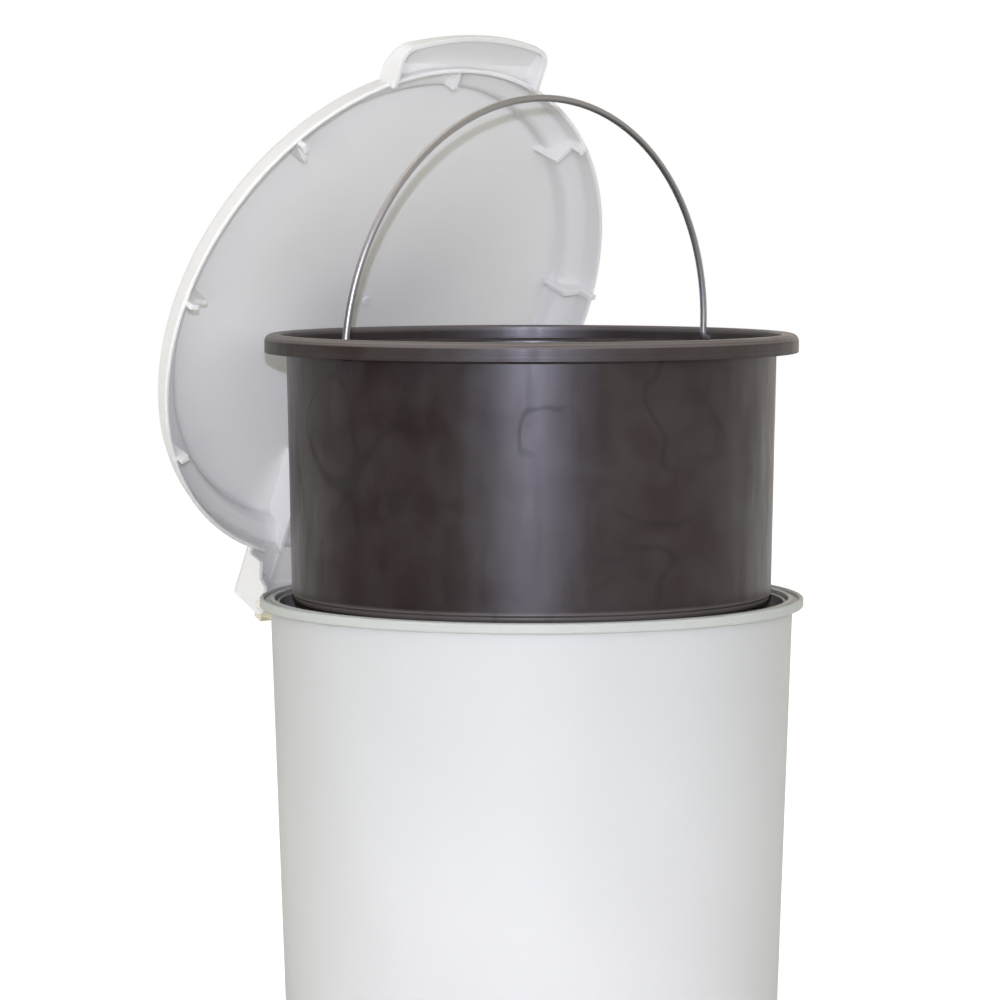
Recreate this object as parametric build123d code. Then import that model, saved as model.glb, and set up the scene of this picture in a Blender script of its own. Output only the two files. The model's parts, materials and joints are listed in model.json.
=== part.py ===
from build123d import *
import os
from math import asin, atan2, cos, degrees, hypot, pi, radians, sin, sqrt, tan

# Litter disposal pail: a tapered white pail with a dark liner standing in it, a shallow carry bucket
# with a wire bail that seats in the pail's flange, and a domed lid hinged on a bracket at the back.
# Millimetres and degrees. The origin is the centre of the pail's underside, on the floor, +Z is up,
# the hinge is at +Y and the lid's grip tab at -Y. The bucket is drawn lifted and the lid leans on it.

# ---- Shared ----
small_round = 0.5  # on thin moulded edges
overlap = 1.0  # how far fused forms run into each other
beyond = 100.0  # past anything that a cutting form has to clear

# ---- Pail ----
pail_height = 385.0  # floor to the top of the flange lip
pail_wall = 2.4
pail_draft = 1.9  # degrees, each side
pail_floor = 2.6
heel_radius = 8.0
corner_radius = 6.0  # inside, wall to floor
flange_radius = 132.5
lip_width = 2.6
lip_depth = 4.8
lip_round = 1.2
groove_depth = 1.6  # the bucket's skirt seats in this groove
groove_width = 2.6
flange_web = 2.3
ring_drop = 0.3  # the mouth ring is this much lower than the lip
base_groove_radius = 84.0  # outside of the shallow ring groove under the floor
base_groove_width = 7.0
base_groove_depth = 1.0

# ---- Liner ----
liner_gap = 0.5
liner_wall = 1.8
liner_floor = 2.0
liner_top_drop = 2.2  # below the flange lip
liner_corner = 7.0

# ---- Bucket ----
bucket_height = 130.0
bucket_lift = 127.8  # rim top above the flange lip, as drawn
bucket_side_gap = 6.0  # outside of the wall, under the rim, to the pail's mouth
bucket_draft = 1.1
bucket_wall = 1.9
bucket_floor = 2.2
rim_side_gap = 0.3  # seated: rim to the flange lip
rim_round = 3.6
rim_web = 1.8
skirt_wall = 1.8
rim_skirt = 9.0  # height of the rim's outer skirt
collar_side_gap = 3.1  # inside of the collar to the pail's mouth
collar_depth = 7.0
collar_round = 1.2
bucket_corner = 6.0
bucket_heel = 2.6
base_step = 0.9  # the wall steps in above the heel
base_step_height = 4.0
base_recess = 1.2
base_ring_width = 5.0
step_inside_round = 1.0  # where the collar's step meets the wall inside

# ---- Bail ----
bail_diameter = 3.4
bail_side_gap = 3.2  # centreline of the half circle to the collar
bail_bend = 3.0
bail_lean = 4.75  # forward of upright, as drawn
bail_pivot_depth = 4.8  # below the rim's top
bail_clearance = 0.06
bail_foot_gap = 0.4  # between the wire's end and the lug's blind end
lug_width = 10.0
lug_gap = 0.3  # seated: between the lug and the pail's mouth ring
lug_tail_width = 5.0
lug_tail_height = 6.2
lug_tail_reach = 3.1
lug_bore_depth = 3.7

# ---- Lid ----
lid_overhang = 4.8  # past the flange
lid_wall = 2.3
lid_height = 24.0  # rim edge to the dome's top
lid_rim_gap = 4.2  # rim edge above the flange lip when the lid is shut
lid_lean_gap = 0.85  # dome to the raised bucket's rim, as drawn, with the dome's fall there
lid_edge_round = 0.8
side_lean = 2.2  # rim edge to the ledge, inward
ledge_height = 10.9  # rim edge to the outer edge of the ledge that runs round the lid
ledge_width = 10.1
ledge_rise = 3.2
ledge_round = 5.0
step_lean = 1.6  # ledge to dome, inward
step_round = 2.0
plateau_round = 4.5
dome_rise = 1.4
gate_radius = 2.5
gate_height = 0.6

tab_half_width = 48.0
tab_length = 18.4  # past the lid's edge
tab_foot = 0.6  # lower edge above the flange lip, lid shut
tab_lip = 3.6  # height at the tab's outer edge
tab_rise = 11.6  # height where it meets the lid
tab_corner = 9.0
tab_round = 1.5

rib_thickness = 2.5
rib_azimuths = (44.0, 85.0)  # from the tab, on both sides
tooth_azimuth = 123.0  # the rearmost pair has no shelf
rib_setback = 3.9  # inner end of the shelf to the dome's edge
rib_lean = 1.6  # of the inner end, outward on the way down
rib_seat_gap = 0.3  # shut: over the bucket's rim, and over the flange lip
rib_tooth_gap = 0.7  # shut: outside the bucket's rim
front_rib_start = 0.6  # out from the dome's edge
front_rib_gap = 1.2

# ---- Hinge ----
hinge_offset = 19.25  # pin behind the flange
hinge_drop = 13.0  # pin below the flange lip
pin_radius = 2.2
pin_clearance = 0.05
pin_chamfer = 0.4
hood_half_width = 48.5
hood_top = 11.5  # above the flange lip, lid shut
hood_overhang = 3.55  # outside of the hood's back wall, at its top, behind the pin
hood_back_slope = 0.7  # further back at its lower edge
hood_foot = 5.0  # lower edge of the back wall, below the flange lip
hood_round = 4.5
hood_corner = 7.0
hood_mouth = 38.0  # half width of the gap in the lid's side that opens into the hood
knuckle_radius = 5.0
cheek_length = 20.75  # in front of the pin
cheek_setback = 8.0
cheek_toe_drop = 3.0
cheek_toe_run = 2.0
cheek_round = 1.5
ear_width = 12.5
ear_side_gap = 0.5
ear_radius = 6.5
ear_web = 3.0
ear_edge = 2.4
ear_tail = (3.9, 5.2)  # behind and below the pin, where the ear's lower edge starts
lid_full_open = 100.0
stop_reach = 9.3
stop_gap = 1.2  # degrees
stop_width = 40.0  # degrees
stop_round = 0.6
arm_offset = 25.0  # outer face of each hinge arm under the dome
arm_thickness = 2.4
arm_gap = 8.0  # free edge above the flange lip, lid shut
arm_start = 41.4  # from the dome's edge
arm_slope_end = 19.4
arm_root = 2.0  # depth below the dome where each arm starts
arm_round = 6.0

bracket_half_width = 50.0
bracket_top = 5.6  # below the flange lip
bracket_bottom = 26.0
bracket_plate = 3.0
bracket_corner = 6.0
peg_radius = 3.0
peg_spread = 22.0
peg_clearance = 0.1


# ---- Places worked out from the sizes ----
flange_z = pail_height
lip_inner = flange_radius - lip_width
ring_outer = lip_inner - groove_width
mouth_radius = ring_outer - pail_wall
rim_radius = lip_inner - rim_side_gap
bucket_radius = mouth_radius - bucket_side_gap
collar_radius = mouth_radius - collar_side_gap
bail_radius = collar_radius - bail_side_gap
lid_radius = flange_radius + lid_overhang
step_radius = lid_radius - side_lean - ledge_width
plateau_radius = step_radius - step_lean
rib_inner = plateau_radius - rib_setback
tab_reach = lid_radius + tab_length
hinge_reach = flange_radius + hinge_offset
hood_back = hinge_reach + hood_overhang
cheek_front = hinge_reach - cheek_length
bucket_z = flange_z + bucket_lift - bucket_height
pivot_z = bucket_z + bucket_height - bail_pivot_depth
seated_rim = rim_skirt - groove_depth  # rim top above the flange lip once the bucket is seated
lug_height = seated_rim - rim_web + ring_drop - lug_gap
rim_z = flange_z + lid_rim_gap
lid_top_z = rim_z + lid_height
hinge_z = flange_z - hinge_drop
collar_outer = collar_radius + bucket_wall
skirt_inner = rim_radius - skirt_wall
cheek_inner = hood_half_width - lid_wall
ear_outer = cheek_inner - ear_side_gap
ear_inner = ear_outer - ear_width
inner_cheek_outer = ear_inner - ear_side_gap
lug_end = collar_outer + lug_bore_depth

# The lid is drawn turned back until its dome leans on the rounded rim of the raised bucket.
lean_run = hinge_reach - rim_radius + rim_round
lean_rise = bucket_lift - rim_round + hinge_drop
lean_height = lid_top_z - lid_wall - hinge_z - rim_round - lid_lean_gap
lid_open = degrees(atan2(lean_rise, lean_run) - asin(lean_height / hypot(lean_rise, lean_run)))


def outline(*corners):
    """A flat face from (across, up, corner radius) triples, drawn on the XY plane."""
    points = [(across, up) for across, up, _ in corners]
    return make_face(FilletPolyline(*points, radius=[c[2] for c in corners], close=True))


def turned(face):
    """The face, drawn as (radius, height), turned about the Z axis."""
    return revolve(Plane.XZ * face, Axis.Z, 360)


def side_plate(face, inner, outer):
    """The face, drawn as (Y, Z), as a plate between two X places."""
    return extrude(Plane.YZ.offset(inner) * face, outer - inner)


def both_sides(solid):
    return solid + mirror(solid, Plane.YZ)


def one_solid(shape):
    """The single solid of a shape, as it is written to its file."""
    solids = shape.solids()
    return solids[0] if len(solids) == 1 else Compound(children=list(solids))


# ---- Pail ----
def pail_inner(z):
    return mouth_radius - (flange_z - z) * tan(radians(pail_draft))


def pail_outer(z):
    return pail_inner(z) + pail_wall


def pail_shell():
    web_z = flange_z - groove_depth - flange_web
    groove_inner = base_groove_radius - base_groove_width
    shell = turned(
        outline(
            (0, pail_floor, 0),
            (pail_inner(pail_floor), pail_floor, corner_radius),
            (pail_inner(flange_z - ring_drop), flange_z - ring_drop, pail_wall / 3),
            (ring_outer, flange_z - ring_drop, pail_wall / 3),
            (ring_outer, flange_z - groove_depth, 0),
            (lip_inner, flange_z - groove_depth, 0),
            (lip_inner, flange_z, lip_round),
            (flange_radius, flange_z, lip_round),
            (flange_radius, flange_z - lip_depth, lip_round),
            (lip_inner, flange_z - lip_depth, 0),
            (lip_inner, web_z, 0),
            (pail_outer(web_z), web_z, 0),
            (pail_outer(0), 0, heel_radius),
            (base_groove_radius, 0, 0),
            (base_groove_radius - base_groove_depth, base_groove_depth, 0),
            (groove_inner + base_groove_depth, base_groove_depth, 0),
            (groove_inner, 0, 0),
            (0, 0, 0),
        )
    )
    return shell - bracket_pegs(peg_radius + peg_clearance)


def inner_liner():
    top = flange_z - liner_top_drop
    outer_top = pail_inner(top) - liner_gap
    outer_base = pail_inner(pail_floor) - liner_gap
    return turned(
        outline(
            (0, pail_floor, 0),
            (outer_base, pail_floor, liner_corner),
            (outer_top, top, liner_wall / 3),
            (outer_top - liner_wall, top, liner_wall / 3),
            (outer_base - liner_wall, pail_floor + liner_floor, liner_corner - liner_wall),
            (0, pail_floor + liner_floor, 0),
        )
    )


# ---- Hinge bracket ----
def wall_sleeve(inner_offset, outer_offset, low, high):
    """A ring that follows the pail's outer wall between two offsets and two heights."""
    return turned(
        outline(
            (pail_outer(low) + inner_offset, low, 0),
            (pail_outer(low) + outer_offset, low, 0),
            (pail_outer(high) + outer_offset, high, 0),
            (pail_outer(high) + inner_offset, high, 0),
        )
    )


def bracket_pegs(radius):
    """Two pegs that are staked into the pail's wall, flush with its inside."""
    z = flange_z - (bracket_top + bracket_bottom) / 2
    ring = wall_sleeve(-pail_wall, bracket_plate / 2, z - 2 * radius, z + 2 * radius)
    rod = extrude(Plane.XZ * Circle(radius), -flange_radius)
    return both_sides(Pos(peg_spread, 0, z) * rod & ring)


def ear():
    """One hinge ear as a plate with a deep edge, a knuckle round the pin and a stop heel below it."""
    wall_y = sqrt(pail_outer(flange_z - bracket_top) ** 2 - ear_inner**2)
    top = hinge_z + ear_radius
    corner_y = hood_back + hood_back_slope - hinge_reach
    corner_z = hinge_drop - hood_foot
    first = atan2(corner_z, corner_y) - radians(lid_full_open + stop_gap)
    second = first - radians(stop_width)
    pivot = (hinge_reach, hinge_z)
    arm = outline(
        (0, top, 0),
        (hinge_reach, top, 0),
        (hinge_reach + ear_tail[0], hinge_z - ear_tail[1], 0),
        (wall_y, flange_z - bracket_bottom + ear_edge, 0),
        (0, flange_z - bracket_bottom + ear_edge, 0),
    )
    heel = outline(
        (*pivot, 0),
        (pivot[0] + stop_reach * cos(first), pivot[1] + stop_reach * sin(first), stop_round),
        (pivot[0] + stop_reach * cos(second), pivot[1] + stop_reach * sin(second), stop_round),
    )
    knuckle = Pos(*pivot) * Circle(ear_radius)
    pocket = offset(arm, -ear_edge) - knuckle
    pocket_depth = (ear_width - ear_web) / 2
    plate = side_plate(arm + heel + knuckle, ear_inner, ear_outer)
    plate -= side_plate(pocket, ear_inner, ear_inner + pocket_depth)
    plate -= side_plate(pocket, ear_outer - pocket_depth, ear_outer)
    return plate - side_plate(Pos(*pivot) * Circle(pin_radius + pin_clearance), ear_inner, ear_outer)


def hinge_bracket():
    low, high = flange_z - bracket_bottom, flange_z - bracket_top
    window = outline(
        (-bracket_half_width, low, bracket_corner),
        (bracket_half_width, low, bracket_corner),
        (bracket_half_width, high, 0),
        (-bracket_half_width, high, 0),
    )
    plate = wall_sleeve(0, bracket_plate, low, high) & extrude(Plane.XZ * window, -flange_radius)
    inside = turned(
        outline(
            (0, 0, 0),
            (pail_outer(0), 0, 0),
            (pail_outer(flange_z), flange_z, 0),
            (0, flange_z, 0),
        )
    )
    return plate + (both_sides(ear()) - inside) + bracket_pegs(peg_radius)


def hinge_pin(side):
    """A plain moulded pin, held in both cheeks of the lid's hood and turning in the ear."""
    inner = inner_cheek_outer - lid_wall
    pin = Cylinder(pin_radius, hood_half_width - inner)
    pin = chamfer(pin.edges().filter_by(GeomType.CIRCLE), pin_chamfer)
    pin = Pos((hood_half_width + inner) / 2, hinge_reach, hinge_z) * Rot(0, 90, 0) * pin
    return pin if side > 0 else mirror(pin, Plane.YZ)


# ---- Bucket ----
def bucket_outer(height):
    """Outer radius of the wall at a height above the bucket's base."""
    return bucket_radius - (bucket_height - rim_skirt - height) * tan(radians(bucket_draft))


def bucket():
    step_z = bucket_height - collar_depth
    skirt_z = bucket_height - rim_skirt
    shoulder_z = step_z - bucket_wall
    heel = bucket_outer(base_step_height) - base_step
    ring_inner = heel - bucket_heel - base_ring_width
    form = turned(
        outline(
            (0, base_recess, 0),
            (ring_inner, base_recess, 0),
            (ring_inner + base_recess, 0, 0),
            (heel, 0, bucket_heel),
            (heel, base_step_height - base_step, 0),
            (bucket_outer(base_step_height), base_step_height, small_round),
            (bucket_outer(shoulder_z), shoulder_z, 0),
            (collar_outer, shoulder_z, 0),
            (collar_outer, bucket_height - rim_web, 0),
            (skirt_inner, bucket_height - rim_web, rim_round - rim_web),
            (skirt_inner, skirt_z, small_round),
            (rim_radius, skirt_z, small_round),
            (rim_radius, bucket_height, rim_round),
            (collar_radius, bucket_height, collar_round),
            (collar_radius, step_z, small_round),
            (bucket_outer(step_z) - bucket_wall, step_z, step_inside_round),
            (heel - bucket_wall, base_recess + bucket_floor, bucket_corner),
            (0, base_recess + bucket_floor, 0),
        )
    )
    lug = Pos((collar_outer + skirt_inner) / 2, 0, bucket_height - rim_web) * Box(
        skirt_inner - collar_outer + overlap,
        lug_width,
        lug_height,
        align=(Align.CENTER, Align.CENTER, Align.MAX),
    )
    tail_top = shoulder_z + overlap
    tail = Pos(bucket_radius - overlap, 0, tail_top) * Box(
        lug_tail_reach + overlap,
        lug_tail_width,
        tail_top - skirt_z + lug_tail_height,
        align=(Align.MIN, Align.CENTER, Align.MAX),
    )
    bore = Pos(collar_radius - overlap, 0, bucket_height - bail_pivot_depth) * Rot(0, 90, 0) * Cylinder(
        bail_diameter / 2 + bail_clearance,
        lug_end - collar_radius + overlap,
        align=(Align.CENTER, Align.CENTER, Align.MIN),
    )
    form = form + both_sides(lug + tail) - both_sides(bore)
    return Pos(0, 0, bucket_z) * form


def bail_wire():
    """A half circle of wire whose ends bend outward into the bucket's lugs."""
    foot_end = lug_end - bail_foot_gap
    centre_distance = bail_radius + bail_bend
    start = asin(bail_bend / centre_distance)
    bend_x = centre_distance * cos(start)
    meet = (bail_radius * cos(start), bail_radius * sin(start))
    middle = (3 * pi / 2 + pi + start) / 2
    bend_middle = (bend_x + bail_bend * cos(middle), bail_bend + bail_bend * sin(middle))
    path = Line((foot_end, 0), (bend_x, 0))
    path += ThreePointArc((bend_x, 0), bend_middle, meet)
    path += ThreePointArc(meet, (0, bail_radius), (-meet[0], meet[1]))
    path += ThreePointArc((-meet[0], meet[1]), (-bend_middle[0], bend_middle[1]), (-bend_x, 0))
    path += Line((-bend_x, 0), (-foot_end, 0))
    section = Plane(origin=(foot_end, 0, 0), z_dir=(-1, 0, 0)) * Circle(bail_diameter / 2)
    wire = Plane.XZ * sweep(section, path=path)
    return Pos(0, 0, pivot_z) * Rot(bail_lean, 0, 0) * wire


# ---- Lid, drawn shut and then opened ----
def lid_form(inset):
    """The solid under the lid's outer surface, or under a surface inside it by the inset."""
    dome_radius = (plateau_radius**2 + dome_rise**2) / (2 * dome_rise)
    tangent_r = plateau_radius - 3 * plateau_round
    tangent_z = lid_top_z - dome_radius + sqrt(dome_radius**2 - tangent_r**2)
    outer = [
        Vector(lid_radius, rim_z),
        Vector(lid_radius - side_lean, rim_z + ledge_height),
        Vector(step_radius, rim_z + ledge_height + ledge_rise),
        Vector(plateau_radius, tangent_z - (plateau_radius - tangent_r) * tangent_r / dome_radius),
        Vector(tangent_r, tangent_z),
    ]
    inward = [(after - before).normalized().rotate(Axis.Z, 90) for before, after in zip(outer, outer[1:])]
    side = [outer[0] + Vector(inset / inward[0].X, 0)]
    for corner, below, above in zip(outer[1:], inward, inward[1:]):
        side.append(corner + (below + above) * (inset / (1 + below.dot(above))))
    side.append(outer[-1] - Vector(0, inset))
    rounds = [0, ledge_round - inset, step_round + inset, plateau_round - inset]
    wall = FilletPolyline((0, rim_z), *side, radius=rounds)
    apex = Vector(0, lid_top_z - inset)
    half = Vector(tangent_r / 2, apex.Y - dome_radius + sqrt(dome_radius**2 - tangent_r**2 / 4))
    dome = ThreePointArc(side[-1], half, apex)
    return turned(make_face([*wall.edges(), *dome.edges(), Line(apex, (0, rim_z))]))


def lid_shell():
    shell = lid_form(0) - lid_form(lid_wall)
    rim_edges = shell.edges().filter_by(GeomType.CIRCLE).group_by(Axis.Z)[0]
    shell = fillet(rim_edges, lid_edge_round)
    gap = Pos(0, hinge_reach, rim_z) * Box(
        2 * hood_mouth,
        2 * (hinge_reach - cheek_front + lid_wall),
        2 * (flange_z + hood_top - lid_wall - rim_z),
    )
    gate = Pos(0, 0, lid_top_z - lid_wall) * Cylinder(gate_radius, 2 * gate_height)
    return shell - gap + gate


def tab_form(inset):
    """The wedge under the tab's outer surface, or under a surface inside it by the inset."""
    foot = flange_z + tab_foot
    reach = tab_reach - inset
    half_width = tab_half_width - inset
    plan = Circle(reach) & Pos(0, -tab_reach) * Rectangle(2 * half_width, 2 * (tab_reach - rib_inner))
    plan = fillet(plan.vertices().sort_by(Axis.Y)[:2], tab_corner - inset)
    side = outline(
        (-rib_inner, foot, 0),
        (-reach, foot, 0),
        (-reach, foot + tab_lip - inset, 0),
        (-lid_radius, foot + tab_rise - inset, 0),
        (-rib_inner, foot + tab_rise - inset, 0),
    )
    return extrude(Pos(0, 0, foot) * plan, tab_rise) & extrude(Plane.YZ * side, half_width, both=True)


def grip_tab():
    """The hollow wedge at the front, open below, that a hand lifts the lid by."""
    outer = tab_form(0)
    lip_z = flange_z + tab_foot + tab_lip - small_round
    rims = [
        edge for edge in outer.edges() if edge.center().Z > lip_z and edge.center().Y < -lid_radius - overlap
    ]
    outer = fillet(rims, tab_round)
    below_rim = Pos(0, 0, rim_z + overlap) * Cylinder(
        lid_radius - lid_wall / 2, 2 * tab_rise, align=(Align.CENTER, Align.CENTER, Align.MAX)
    )
    return outer - tab_form(lid_wall) - (lid_form(lid_wall / 2) + below_rim)


def hood_front(inset):
    """The hood's outline from the front, with its top corners rounded."""
    half_width = hood_half_width - inset
    low = hinge_z - 2 * knuckle_radius
    return outline(
        (-half_width, low, 0),
        (half_width, low, 0),
        (half_width, flange_z + hood_top - inset, hood_corner - inset),
        (-half_width, flange_z + hood_top - inset, hood_corner - inset),
    )


def hood_outline(inset):
    """The hood's roof and back wall in (Y, Z), open at the front and below."""
    foot_z = flange_z - hood_foot
    return outline(
        (rib_inner, foot_z, 0),
        (rib_inner, flange_z + hood_top - inset, 0),
        (hood_back - inset, flange_z + hood_top - inset, hood_round - inset),
        (hood_back + hood_back_slope - inset, foot_z, 0),
    )


def cheek_outline(front_corners, inset):
    """A hinge cheek in (Y, Z): front corners, round knuckle, then up inside the hood's back wall."""
    plate = outline(
        *front_corners,
        (hinge_reach, hinge_z - knuckle_radius, 0),
        (hinge_reach + knuckle_radius, hinge_z, 0),
        (hood_back + hood_back_slope, flange_z - hood_foot, 0),
        (hood_back - inset, flange_z + hood_top - inset, 0),
    )
    return plate + Pos(hinge_reach, hinge_z) * Circle(knuckle_radius)


def hinge_hood():
    """The hood over the hinge: roof, back wall, and two pairs of cheeks that hold the pins."""
    roof_z = flange_z + hood_top
    foot_z = flange_z - hood_foot
    toe = cheek_front + cheek_setback
    inner_front = hinge_reach - knuckle_radius
    cheek = cheek_outline(
        [
            (cheek_front, rim_z + lid_wall, 0),
            (cheek_front, foot_z, cheek_round),
            (toe, foot_z - cheek_toe_drop, cheek_round),
            (toe + cheek_toe_run, hinge_z, cheek_round),
        ],
        hood_round,
    )
    inner_corners = [(inner_front, roof_z - lid_wall / 2, 0), (inner_front, hinge_z, 0)]
    inner_cheek = cheek_outline(inner_corners, lid_wall / 2)
    back_corner = Pos(hood_back, roof_z) * Rectangle(2 * hood_round, 2 * hood_round)
    inner_cheek -= back_corner - hood_outline(lid_wall / 2)
    roof = hood_outline(0) - Pos(cheek_front - beyond, rim_z - beyond / 2) * Rectangle(2 * beyond, beyond)
    hood = extrude(Plane.YZ * (roof + cheek), hood_half_width, both=True)
    hood &= extrude(Plane.XZ * hood_front(0), -2 * hood_back)
    cavity = extrude(Plane.YZ * hood_outline(lid_wall), cheek_inner, both=True)
    hood -= cavity & extrude(Plane.XZ * hood_front(lid_wall), -2 * hood_back)
    hood -= Pos(0, hinge_reach, foot_z) * Box(
        2 * cheek_inner, 2 * hinge_reach, 2 * bracket_bottom, align=(Align.CENTER, Align.CENTER, Align.MAX)
    )
    inner_cheeks = side_plate(inner_cheek, inner_cheek_outer - lid_wall, inner_cheek_outer)
    bore = side_plate(Pos(hinge_reach, hinge_z) * Circle(pin_radius), 0, hood_half_width + overlap)
    return hood + both_sides(inner_cheeks) - lid_form(lid_wall / 2) - both_sides(bore)


def hinge_arms():
    """Two upright arms that carry the hinge's load from the hood into the dome."""
    roof = lid_top_z
    plate = outline(
        (plateau_radius - arm_start, roof, 0),
        (plateau_radius - arm_start, roof - lid_wall - arm_root, 0),
        (plateau_radius - arm_slope_end, flange_z + arm_gap, arm_round),
        (hood_back - lid_wall / 2, flange_z + arm_gap, 0),
        (hood_back - lid_wall / 2, flange_z + hood_top - lid_wall / 2, 0),
        (lid_radius - lid_wall, flange_z + hood_top - lid_wall / 2, 0),
        (lid_radius - lid_wall, roof, 0),
    )
    under_hood = Pos(0, hinge_reach, flange_z) * Box(
        4 * arm_offset, 2 * (hinge_reach - lid_radius + lid_wall), 2 * (hood_top - lid_wall / 2)
    )
    return both_sides(
        side_plate(plate, arm_offset - arm_thickness, arm_offset) & (lid_form(lid_wall / 2) + under_hood)
    )


def lid_ribs():
    """Radial ribs: a shelf that rides on the bucket's rim and a tooth that centres the lid outside it."""
    shelf = flange_z + seated_rim + rib_seat_gap
    foot = flange_z + rib_seat_gap
    tooth_r = rim_radius + rib_tooth_gap
    stepped = outline(
        (rib_inner - rib_lean, lid_top_z, 0),
        (rib_inner, shelf, small_round),
        (tooth_r, shelf, 0),
        (tooth_r, foot, small_round),
        (lid_radius, foot, 0),
        (lid_radius, lid_top_z, 0),
    )
    plain = outline(
        (plateau_radius + front_rib_start, lid_top_z, 0),
        (plateau_radius + front_rib_start, shelf + front_rib_gap, small_round),
        (lid_radius, shelf + front_rib_gap, 0),
        (lid_radius, lid_top_z, 0),
    )
    tooth = outline(
        (tooth_r, lid_top_z, 0),
        (tooth_r, foot, small_round),
        (lid_radius, foot, 0),
        (lid_radius, lid_top_z, 0),
    )
    room = lid_form(lid_wall / 2) + Pos(0, 0, flange_z) * Cylinder(
        lid_radius - lid_wall, lid_rim_gap + overlap, align=(Align.CENTER, Align.CENTER, Align.MIN)
    )
    placed = Rot(0, 0, -90) * (extrude(Plane.XZ * plain, rib_thickness / 2, both=True) & room)
    for azimuth, face in [(azimuth, stepped) for azimuth in rib_azimuths] + [(tooth_azimuth, tooth)]:
        rib = extrude(Plane.XZ * face, rib_thickness / 2, both=True) & room
        placed += Rot(0, 0, -90 - azimuth) * rib + Rot(0, 0, -90 + azimuth) * rib
    return placed


def opened(shape):
    """The shape turned about the hinge pin from shut to the drawn angle."""
    return Pos(0, hinge_reach, hinge_z) * Rot(-lid_open, 0, 0) * Pos(0, -hinge_reach, -hinge_z) * shape


def lid():
    return lid_shell() + grip_tab() + hinge_hood() + hinge_arms() + lid_ribs()


os.makedirs("parts", exist_ok=True)
nodes = {
    "pail_shell": pail_shell(),
    "inner_liner": inner_liner(),
    "hinge_bracket": hinge_bracket(),
    "bucket": bucket(),
    "bail_wire": bail_wire(),
    "lid": opened(lid()),
    "hinge_pin_left": opened(hinge_pin(-1)),
    "hinge_pin_right": opened(hinge_pin(1)),
}
for name, shape in nodes.items():
    export_step(one_solid(shape), f"parts/{name}.step")
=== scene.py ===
"""Litter disposal pail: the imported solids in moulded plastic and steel, in a plain white studio."""

import json

import bpy
from mathutils import Matrix, Vector

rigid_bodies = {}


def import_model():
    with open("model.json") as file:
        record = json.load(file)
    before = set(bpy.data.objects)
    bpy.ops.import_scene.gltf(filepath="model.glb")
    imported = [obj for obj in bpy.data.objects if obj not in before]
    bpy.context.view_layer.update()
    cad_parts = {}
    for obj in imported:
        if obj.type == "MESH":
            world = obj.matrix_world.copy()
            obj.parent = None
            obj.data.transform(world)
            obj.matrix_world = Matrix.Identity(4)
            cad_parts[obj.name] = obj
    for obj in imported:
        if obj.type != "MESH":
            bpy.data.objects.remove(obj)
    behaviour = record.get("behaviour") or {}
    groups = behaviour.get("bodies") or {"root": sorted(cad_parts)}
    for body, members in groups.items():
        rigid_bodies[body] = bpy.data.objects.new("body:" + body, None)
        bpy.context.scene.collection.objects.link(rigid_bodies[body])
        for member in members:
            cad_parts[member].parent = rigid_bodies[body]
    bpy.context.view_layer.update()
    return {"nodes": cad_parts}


for leftover in list(bpy.data.objects):
    bpy.data.objects.remove(leftover, do_unlink=True)

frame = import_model()
nodes = frame["nodes"]

MM = 0.001
FLANGE_Z = 385 * MM  # top of the pail's flange
RIM_Z = 512.8 * MM  # top of the raised bucket's rim
RIM_DEPTH = 9.2 * MM  # height of that rim
BASE_Z = 382.8 * MM  # underside of the raised bucket
COLLAR_RADIUS = 122.55 * MM  # inside of the bucket's rim
FLOOR_RADIUS = 106 * MM  # inside of the bucket, at its floor


# ---------------------------------------------------------------- camera

def aim(obj, place, forward, up):
    """Stands an object at a place, looking forward, with its own up kept as near as it can be to up."""
    forward = Vector(forward).normalized()
    up = Vector(up)
    up = (up - forward * up.dot(forward)).normalized()
    turn = Matrix((forward.cross(up), up, -forward)).transposed().to_4x4()
    turn.translation = Vector(place)
    obj.matrix_world = turn


camera_data = bpy.data.cameras.new("camera")
camera_data.lens = 143.3
camera_data.sensor_width = 36
camera_data.clip_end = 60
camera = bpy.data.objects.new("camera", camera_data)
bpy.context.scene.collection.objects.link(camera)
aim(camera, (-1.3185, -1.4152, 0.5791), (0.6739, 0.7349, -0.0761), (0.0518, 0.0557, 0.9971))
bpy.context.scene.camera = camera


# ---------------------------------------------------------------- node helpers

def colour(hex_code):
    """An sRGB hex colour as the linear RGBA that a shader takes."""
    parts = [int(hex_code[i:i + 2], 16) / 255 for i in (1, 3, 5)]
    return tuple(p / 12.92 if p <= 0.04045 else ((p + 0.055) / 1.055) ** 2.4 for p in parts) + (1,)


def add(tree, kind, links=(), **settings):
    """Adds a node: settings are its properties, links are (socket, value or output socket) pairs."""
    made = tree.nodes.new(kind)
    for name, value in settings.items():
        setattr(made, name, value)
    for socket, value in links:
        if isinstance(value, bpy.types.NodeSocket):
            tree.links.new(value, made.inputs[socket])
        else:
            made.inputs[socket].default_value = value
    return made


def blank(name):
    """A node material with nothing in it but its output."""
    material = bpy.data.materials.new(name)
    material.use_nodes = True
    tree = material.node_tree
    tree.nodes.clear()
    return material, tree, tree.nodes.new("ShaderNodeOutputMaterial")


def shades(tree, value, low, high, first, second):
    """Turns from one colour to another while a value rises from low to high."""
    rise = add(tree, "ShaderNodeMapRange", [(0, value), (1, low), (2, high)])
    first, second = [colour(tone) if isinstance(tone, str) else tone for tone in (first, second)]
    links = [(0, rise.outputs[0]), (6, first), (7, second)]
    return add(tree, "ShaderNodeMix", links, data_type="RGBA").outputs[2]


def per_mm(size):
    """The noise scale, in metres, whose grain is about size millimetres."""
    return 1 / (size * MM)


# ---------------------------------------------------------------- finishes

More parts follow.
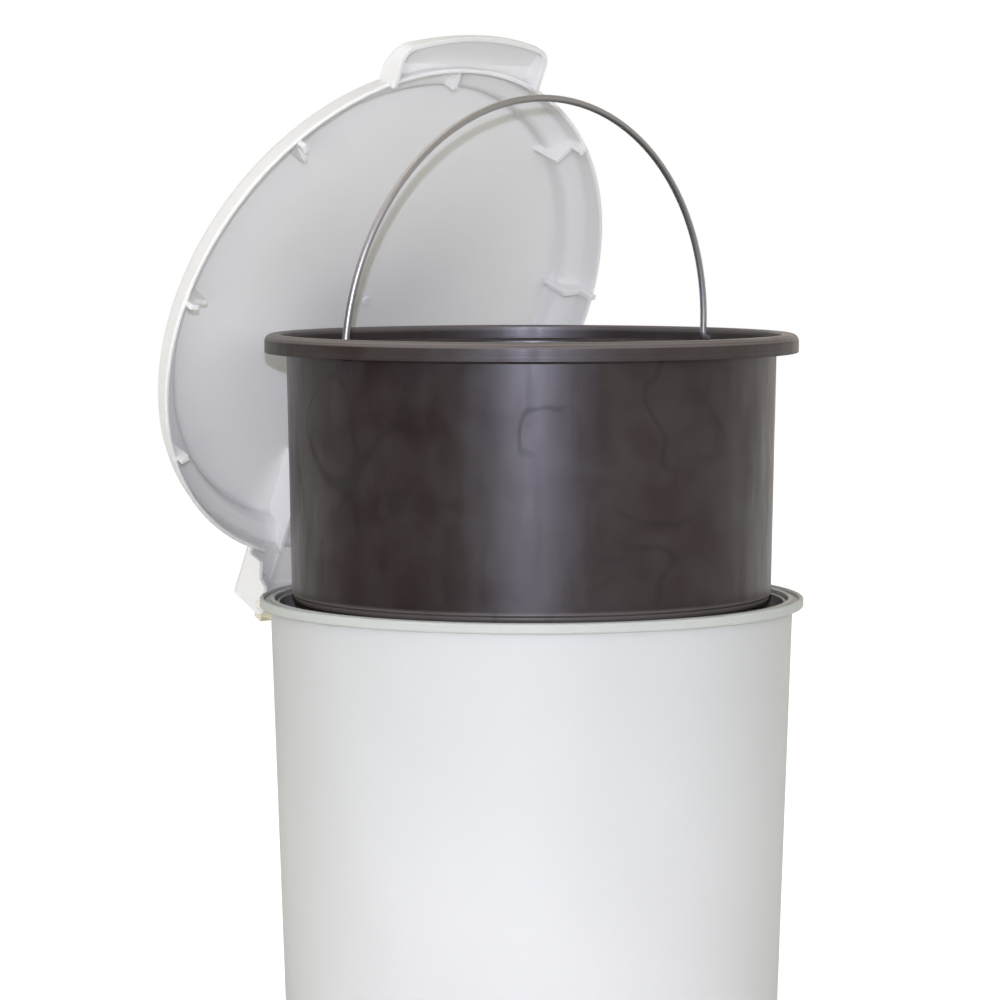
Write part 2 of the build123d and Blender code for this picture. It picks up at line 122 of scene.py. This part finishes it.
CLOUD_MM = 90  # size of the soft clouds in the tone of a moulded wall
SAG_DEPTH = 0.05 * MM  # how far a cooling wall sinks between its waves
MILK_DEPTH = 4 * MM  # how far light spreads inside white plastic
PLASTIC_IOR = 1.49  # usual for polypropylene, acetal and nylon
STREAK_STRETCH = (1, 1, 0.22)  # draws drag streaks out upright, the way the melt was pushed
WELD_STRETCH = (1, 1, 0.7)
WELD_SHIFT = (0.15, 0.4, 0.3)  # moves the weld lines to where each side of the bucket gets a few


def object_place(tree):
    """Where a point lies on the object in metres, its distance from the pail's axis, and its height."""
    place = add(tree, "ShaderNodeTexCoord").outputs["Object"]
    split = add(tree, "ShaderNodeSeparateXYZ", [("Vector", place)])
    flat = add(tree, "ShaderNodeVectorMath", [(0, place), (1, (1, 1, 0))], operation="MULTIPLY")
    radius = add(tree, "ShaderNodeVectorMath", [(0, flat.outputs["Vector"])], operation="LENGTH")
    return place, radius.outputs["Value"], split.outputs["Z"]


def moulded(name, tones, gloss, grain_mm, grain_depth_mm, sag_mm, shade=None, milk=0.0):
    """Injection-moulded plastic: two close tones, a fine tool texture, soft waves from cooling, and painted
    shade by height where shade is given.
    """
    material, tree, out = blank(name)
    place, _, height = object_place(tree)
    cloud = add(tree, "ShaderNodeTexNoise", [
        ("Vector", place), ("Scale", per_mm(CLOUD_MM)), ("Detail", 1.0)]).outputs["Fac"]
    base = shades(tree, cloud, 0.35, 0.65, *tones)
    if shade is not None:
        base = add(tree, "ShaderNodeMix", [(0, 1.0), (6, base), (7, shade(tree, height))],
                   data_type="RGBA", blend_type="MULTIPLY").outputs[2]
    roughness = add(tree, "ShaderNodeMapRange", [
        (0, cloud), (1, 0.3), (2, 0.7), (3, gloss[0]), (4, gloss[1])])
    sag = add(tree, "ShaderNodeTexNoise", [("Vector", place), ("Scale", per_mm(sag_mm)), ("Detail", 1.0)])
    waves = add(tree, "ShaderNodeBump", [("Height", sag.outputs["Fac"]), ("Distance", SAG_DEPTH)])
    grain = add(tree, "ShaderNodeTexNoise", [("Vector", place), ("Scale", per_mm(grain_mm)), ("Detail", 4.0)])
    skin = add(tree, "ShaderNodeBump", [("Height", grain.outputs["Fac"]), ("Distance", grain_depth_mm * MM),
                                        ("Normal", waves.outputs["Normal"])])
    shader = add(tree, "ShaderNodeBsdfPrincipled", [
        ("Base Color", base),
        ("Roughness", roughness.outputs[0]),
        ("IOR", PLASTIC_IOR),
        ("Subsurface Weight", milk),
        ("Subsurface Radius", (1.0, 1.0, 1.0)),
        ("Subsurface Scale", MILK_DEPTH),
        ("Normal", skin.outputs["Normal"]),
    ])
    tree.links.new(shader.outputs["BSDF"], out.inputs["Surface"])
    return material


def painted_mouth_shade(tree, height):
    """Painted shade: the colour greys toward the mouth, most on the flange, where less light reaches the
    wall.
    """
    wall = add(tree, "ShaderNodeMapRange", [
        (0, height), (1, FLANGE_Z - 170 * MM), (2, FLANGE_Z - 10 * MM)], interpolation_type="SMOOTHSTEP")
    lip = add(tree, "ShaderNodeMapRange", [
        (0, height), (1, FLANGE_Z - 6 * MM), (2, FLANGE_Z - 4 * MM)], interpolation_type="SMOOTHSTEP")
    wall_shade = shades(tree, wall.outputs[0], 0.0, 1.0, "#ffffff", "#f2f3f2")
    lip_shade = shades(tree, lip.outputs[0], 0.0, 1.0, "#ffffff", "#eff1ed")
    return add(tree, "ShaderNodeMix", [(0, 1.0), (6, wall_shade), (7, lip_shade)],
               data_type="RGBA", blend_type="MULTIPLY").outputs[2]


# White polypropylene, gloss moulded: a clean, slightly cool white with a soft sheen, its tones set darker
# than the lid's as painted shade, with more painted shade toward the mouth.
pail_finish = moulded("white_polypropylene_gloss_moulded", ("#cccecd", "#cfd1d0"), (0.44, 0.5),
                      0.8, 0.002, 45, shade=painted_mouth_shade, milk=0.3)
# The same polypropylene from a lightly blasted tool, more satin; the lid's tones are lighter than the pail's,
# which carry painted shade.
lid_finish = moulded("white_polypropylene_satin_moulded", ("#e0e1df", "#e3e4e2"), (0.4, 0.46),
                     0.8, 0.002, 40, milk=0.5)
# Grey polypropylene, satin moulded: the liner shows only as a dark line inside the mouth.
liner_finish = moulded("grey_polypropylene_satin_moulded", ("#a09a94", "#a8a29c"), (0.4, 0.5), 0.6, 0.006, 40)
# Acetal keeps its natural cream colour and a waxy gloss.
bracket_finish = moulded("cream_acetal_moulded", ("#d8d3bd", "#dcd7c2"), (0.3, 0.4), 0.6, 0.004, 20)
# Undyed nylon, a touch whiter than the bracket.
pin_finish = moulded("natural_nylon_moulded", ("#d9d6c8", "#dedbce"), (0.3, 0.4), 0.4, 0.004, 20)

# Recycled black polypropylene with mica, moulded: a warm charcoal whose glow breaks up into clouds, upright
# drag streaks and the thin dark weld lines where the melt fronts met. The rim was trimmed on a lathe.
bucket_finish, tree, out = blank("recycled_mica_polypropylene_moulded")
place, radius, height = object_place(tree)
clouds = add(tree, "ShaderNodeTexNoise", [
    ("Vector", place), ("Scale", per_mm(26)), ("Detail", 3.0), ("Distortion", 0.6)]).outputs["Fac"]
upright = add(tree, "ShaderNodeVectorMath", [(0, place), (1, STREAK_STRETCH)], operation="MULTIPLY")
streaks = add(tree, "ShaderNodeTexNoise", [
    ("Vector", upright.outputs["Vector"]), ("Scale", per_mm(9)), ("Detail", 2.0), ("Distortion", 0.3)])
streaks = streaks.outputs["Fac"]

# Masks for the turned rim, the collar inside it, the bucket's floor, the rim's crown and the foot.
rim = add(tree, "ShaderNodeMapRange", [
    (0, height), (1, RIM_Z - RIM_DEPTH - 0.4 * MM), (2, RIM_Z - RIM_DEPTH + 0.4 * MM)],
          interpolation_type="SMOOTHSTEP").outputs[0]
inside = add(tree, "ShaderNodeMapRange", [
    (0, radius), (1, COLLAR_RADIUS - 0.25 * MM), (2, COLLAR_RADIUS + 0.25 * MM), (3, 1.0), (4, 0.0)],
             interpolation_type="SMOOTHSTEP")
collar = add(tree, "ShaderNodeMath", [(0, inside.outputs[0]), (1, rim)], operation="MULTIPLY").outputs[0]
inner_floor = add(tree, "ShaderNodeMapRange", [
    (0, radius), (1, FLOOR_RADIUS + 2 * MM), (2, FLOOR_RADIUS - 2 * MM)],
                  interpolation_type="SMOOTHSTEP").outputs[0]
crown_wear_and_sheen = add(tree, "ShaderNodeMapRange", [
    (0, height), (1, RIM_Z - 3.4 * MM), (2, RIM_Z - 1.4 * MM), (3, 0.1), (4, 1.7)],
            interpolation_type="SMOOTHSTEP").outputs[0]
painted_foot_light = add(tree, "ShaderNodeMapRange", [
    (0, height), (1, BASE_Z + 6 * MM), (2, BASE_Z + 4 * MM), (3, 0.0), (4, 0.7)],
           interpolation_type="SMOOTHSTEP").outputs[0]

# A weld line lies where slow noise passes through its middle value: off_weld is 0 there and 1 elsewhere.
# The lines fade in and out, and stay off the rim and the floor.
melt = add(tree, "ShaderNodeVectorMath", [(0, place), (1, WELD_STRETCH), (2, WELD_SHIFT)],
           operation="MULTIPLY_ADD").outputs["Vector"]
front = add(tree, "ShaderNodeTexNoise", [
    ("Vector", melt), ("Scale", per_mm(75)), ("Detail", 1.5), ("Distortion", 1.2)]).outputs["Fac"]
off_front = add(tree, "ShaderNodeMath", [(0, front), (1, 0.5)], operation="SUBTRACT").outputs[0]
off_front = add(tree, "ShaderNodeMath", [(0, off_front)], operation="ABSOLUTE").outputs[0]
off_weld = add(tree, "ShaderNodeMapRange", [
    (0, off_front), (1, 0.004), (2, 0.03)], interpolation_type="SMOOTHSTEP").outputs[0]
fading = add(tree, "ShaderNodeTexNoise", [("Vector", place), ("Scale", per_mm(60)), ("Detail", 1.0)])
weld_fade = add(tree, "ShaderNodeMapRange", [
    (0, fading.outputs["Fac"]), (1, 0.42), (2, 0.6)], interpolation_type="SMOOTHSTEP").outputs[0]
for mask in (weld_fade, rim, inner_floor):
    off_weld = add(tree, "ShaderNodeMath", [(0, off_weld), (1, mask)], operation="MAXIMUM").outputs[0]

# Lathe lines are about 0.2 mm apart, and are drawn 1.2 mm apart so that they show.
across_rim = add(tree, "ShaderNodeMath", [(0, radius), (1, height)], operation="SUBTRACT").outputs[0]
lathe = add(tree, "ShaderNodeTexNoise", [("W", across_rim), ("Scale", per_mm(1.2)), ("Detail", 2.0)],
            noise_dimensions="1D").outputs["Fac"]
lathe = add(tree, "ShaderNodeMath", [(0, lathe), (1, rim)], operation="MULTIPLY").outputs[0]

# Wear and a painted sheen lighten the crown of the rim along its lathe lines; painted light lifts the shaded
# foot and stands in for the glint on its step.
wear_and_painted_light = add(tree, "ShaderNodeMath", [(0, lathe), (1, crown_wear_and_sheen), (2, painted_foot_light)], operation="MULTIPLY_ADD",
            use_clamp=True).outputs[0]
base = shades(tree, clouds, 0.36, 0.5, "#281b19", "#2d2421")
base = shades(tree, clouds, 0.5, 0.64, base, "#312a28")
# Wear and painted light: the crown and the foot turn toward a lighter grey.
base = shades(tree, wear_and_painted_light, 0.0, 1.0, base, "#6e6864")
weld_tint = add(tree, "ShaderNodeMapRange", [(0, off_weld), (3, 0.7), (4, 1.0)]).outputs[0]
base = add(tree, "ShaderNodeMix", [(0, 1.0), (6, base), (7, weld_tint)], data_type="RGBA",
           blend_type="MULTIPLY").outputs[2]

# The streaks break up the gloss. Weld lines and the turned rim are duller, and the collar is shinier.
roughness = add(tree, "ShaderNodeMath", [(0, streaks), (1, 0.3), (2, 0.33)],
                operation="MULTIPLY_ADD").outputs[0]
for mask, change in ((off_weld, -0.08), (collar, -0.08), (rim, 0.08)):
    roughness = add(tree, "ShaderNodeMath", [(0, mask), (1, change), (2, roughness)],
                    operation="MULTIPLY_ADD").outputs[0]

grain = add(tree, "ShaderNodeTexNoise", [("Vector", place), ("Scale", per_mm(0.7)), ("Detail", 4.0)])
skin = add(tree, "ShaderNodeBump", [("Height", clouds), ("Distance", 0.12 * MM)]).outputs["Normal"]
for pattern, depth_mm in ((streaks, 0.06), (lathe, 0.08), (grain.outputs["Fac"], 0.004)):
    skin = add(tree, "ShaderNodeBump", [("Height", pattern), ("Distance", depth_mm * MM),
                                        ("Normal", skin)]).outputs["Normal"]
shader = add(tree, "ShaderNodeBsdfPrincipled", [
    ("Base Color", base),
    ("Roughness", roughness),
    ("IOR", PLASTIC_IOR),
    ("Specular IOR Level", 1.0),  # mica flakes strengthen the shine
    ("Normal", skin),
])
tree.links.new(shader.outputs["BSDF"], out.inputs["Surface"])

# Bright drawn steel: the die leaves a fine uneven grain and a soft grey shine.
wire_finish, tree, out = blank("drawn_steel_wire")
place = add(tree, "ShaderNodeTexCoord").outputs["Object"]
grain = add(tree, "ShaderNodeTexNoise", [("Vector", place), ("Scale", per_mm(0.8)), ("Detail", 4.0)])
grain = grain.outputs["Fac"]
shader = add(tree, "ShaderNodeBsdfPrincipled", [
    ("Base Color", shades(tree, grain, 0.3, 0.7, "#dcdbd8", "#e6e5e2")),
    ("Metallic", 1.0),
    ("Roughness", add(tree, "ShaderNodeMapRange", [
        (0, grain), (1, 0.3), (2, 0.7), (3, 0.42), (4, 0.52)]).outputs[0]),
    ("Normal", add(tree, "ShaderNodeBump", [
        ("Height", grain), ("Distance", 0.01 * MM)]).outputs["Normal"]),
])
tree.links.new(shader.outputs["BSDF"], out.inputs["Surface"])

FINISHES = {
    "pail_shell": pail_finish,
    "inner_liner": liner_finish,
    "hinge_bracket": bracket_finish,
    "hinge_pin_left": pin_finish,
    "hinge_pin_right": pin_finish,
    "lid": lid_finish,
    "bucket": bucket_finish,
    "bail_wire": wire_finish,
}
for name, finish in FINISHES.items():
    for material_slot in nodes[name].material_slots:
        material_slot.material = finish


# ---------------------------------------------------------------- studio

VIEW = (0.674, 0.735, 0.0)  # from the object toward the white sweep behind it
RIGHT = (0.737, -0.676, 0.0)  # toward the lighter side of the room
ABOVE = (-0.3, 0.3, 0.9)  # toward the pale ceiling
MIDDLE = Vector((0, 0, 0.45))  # where the lamps point


def toward(tree, vector, direction, low, high, most, under):
    """Brightness that rises by most over what is under it, as the vector turns toward a direction."""
    along = add(tree, "ShaderNodeVectorMath", [(0, vector), (1, direction)], operation="DOT_PRODUCT")
    rise = add(tree, "ShaderNodeMapRange", [(0, along.outputs["Value"]), (1, low), (2, high), (4, most)],
               interpolation_type="SMOOTHSTEP")
    return add(tree, "ShaderNodeMath", [(0, rise.outputs[0]), (1, under)], operation="ADD").outputs[0]


def staged(tree, lit, mirrored, shown):
    """Lit on lighting rays, mirrored on glossy rays, and shown to the camera, also through clear plastic."""
    path = add(tree, "ShaderNodeLightPath").outputs
    gloss = add(tree, "ShaderNodeMixShader", [("Fac", path["Is Glossy Ray"]), (1, lit), (2, mirrored)])
    direct = add(tree, "ShaderNodeMath", [(0, path["Is Camera Ray"]), (1, path["Is Transmission Ray"])],
                 operation="ADD", use_clamp=True)
    mix = add(tree, "ShaderNodeMixShader", [("Fac", direct.outputs[0]), (1, gloss.outputs[0]), (2, shown)])
    return mix.outputs[0]


floor_mesh = bpy.data.meshes.new("floor")
floor_mesh.from_pydata([(-6, -6, 0), (6, -6, 0), (6, 6, 0), (-6, 6, 0)], [], [(0, 1, 2, 3)])
floor = bpy.data.objects.new("floor", floor_mesh)
bpy.context.scene.collection.objects.link(floor)
floor_finish, tree, out = blank("matt_white_studio_floor")
place = add(tree, "ShaderNodeTexCoord").outputs["Object"]
diffuse = add(tree, "ShaderNodeBsdfDiffuse", [("Color", colour("#eeeeee"))])
glow = add(tree, "ShaderNodeEmission", [("Color", (1, 1, 1, 1)), ("Strength", 0.6)])
lifted = add(tree, "ShaderNodeAddShader", [(0, diffuse.outputs[0]), (1, glow.outputs[0])])
shine = toward(tree, place, VIEW, 0.1, 1.4, 0.75, 0.05)
shine = toward(tree, place, RIGHT, 0.0, 1.6, 0.2, shine)
mirrored = add(tree, "ShaderNodeEmission", [("Color", (1, 1, 1, 1)), ("Strength", shine)])
surface = staged(tree, diffuse.outputs[0], mirrored.outputs[0], lifted.outputs[0])
tree.links.new(surface, out.inputs["Surface"])
floor_mesh.materials.append(floor_finish)

world = bpy.data.worlds.new("studio")
bpy.context.scene.world = world
world.use_nodes = True
tree = world.node_tree
tree.nodes.clear()
direction = add(tree, "ShaderNodeTexCoord").outputs["Generated"]
ambient = add(tree, "ShaderNodeBackground", [("Color", colour("#fffcf3")), ("Strength", 0.74)])
shine = toward(tree, direction, VIEW, 0.66, 1.0, 1.1, 0.06)
shine = toward(tree, direction, RIGHT, 0.0, 0.8, 0.3, shine)
shine = toward(tree, direction, ABOVE, 0.6, 1.0, 0.9, shine)
mirrored = add(tree, "ShaderNodeBackground", [("Color", colour("#fff4ea")), ("Strength", shine)])
white = add(tree, "ShaderNodeBackground", [("Color", (1, 1, 1, 1)), ("Strength", 1.0)])
surface = staged(tree, ambient.outputs[0], mirrored.outputs[0], white.outputs[0])
tree.links.new(surface, add(tree, "ShaderNodeOutputWorld").inputs["Surface"])


def softbox(name, place, width, height, watts, tint, in_gloss=False):
    """A rectangular studio lamp that faces the object, hidden from its gloss unless asked."""
    data = bpy.data.lights.new(name, "AREA")
    data.shape = "RECTANGLE"
    data.size = width
    data.size_y = height
    data.energy = watts
    data.color = colour(tint)[:3]
    lamp = bpy.data.objects.new(name, data)
    bpy.context.scene.collection.objects.link(lamp)
    aim(lamp, place, MIDDLE - Vector(place), (0, 0, 1))
    lamp.visible_glossy = in_gloss


softbox("flash", (-1.321, -1.413, 0.704), 0.022, 0.022, 18.6, "#e4e4ff", in_gloss=True)
softbox("right_low_fill", (0.9, -1.9, 0.2), 0.8, 0.8, 3, "#fffcf3")
softbox("left_low_fill", (-1.6, -0.9, 0.15), 0.8, 0.8, 11, "#fffcf3")
softbox("overhead_left", (-1.4, 1.0, 2.4), 1.4, 1.4, 3, "#fffcf3")

bpy.context.scene.view_settings.view_transform = "Standard"
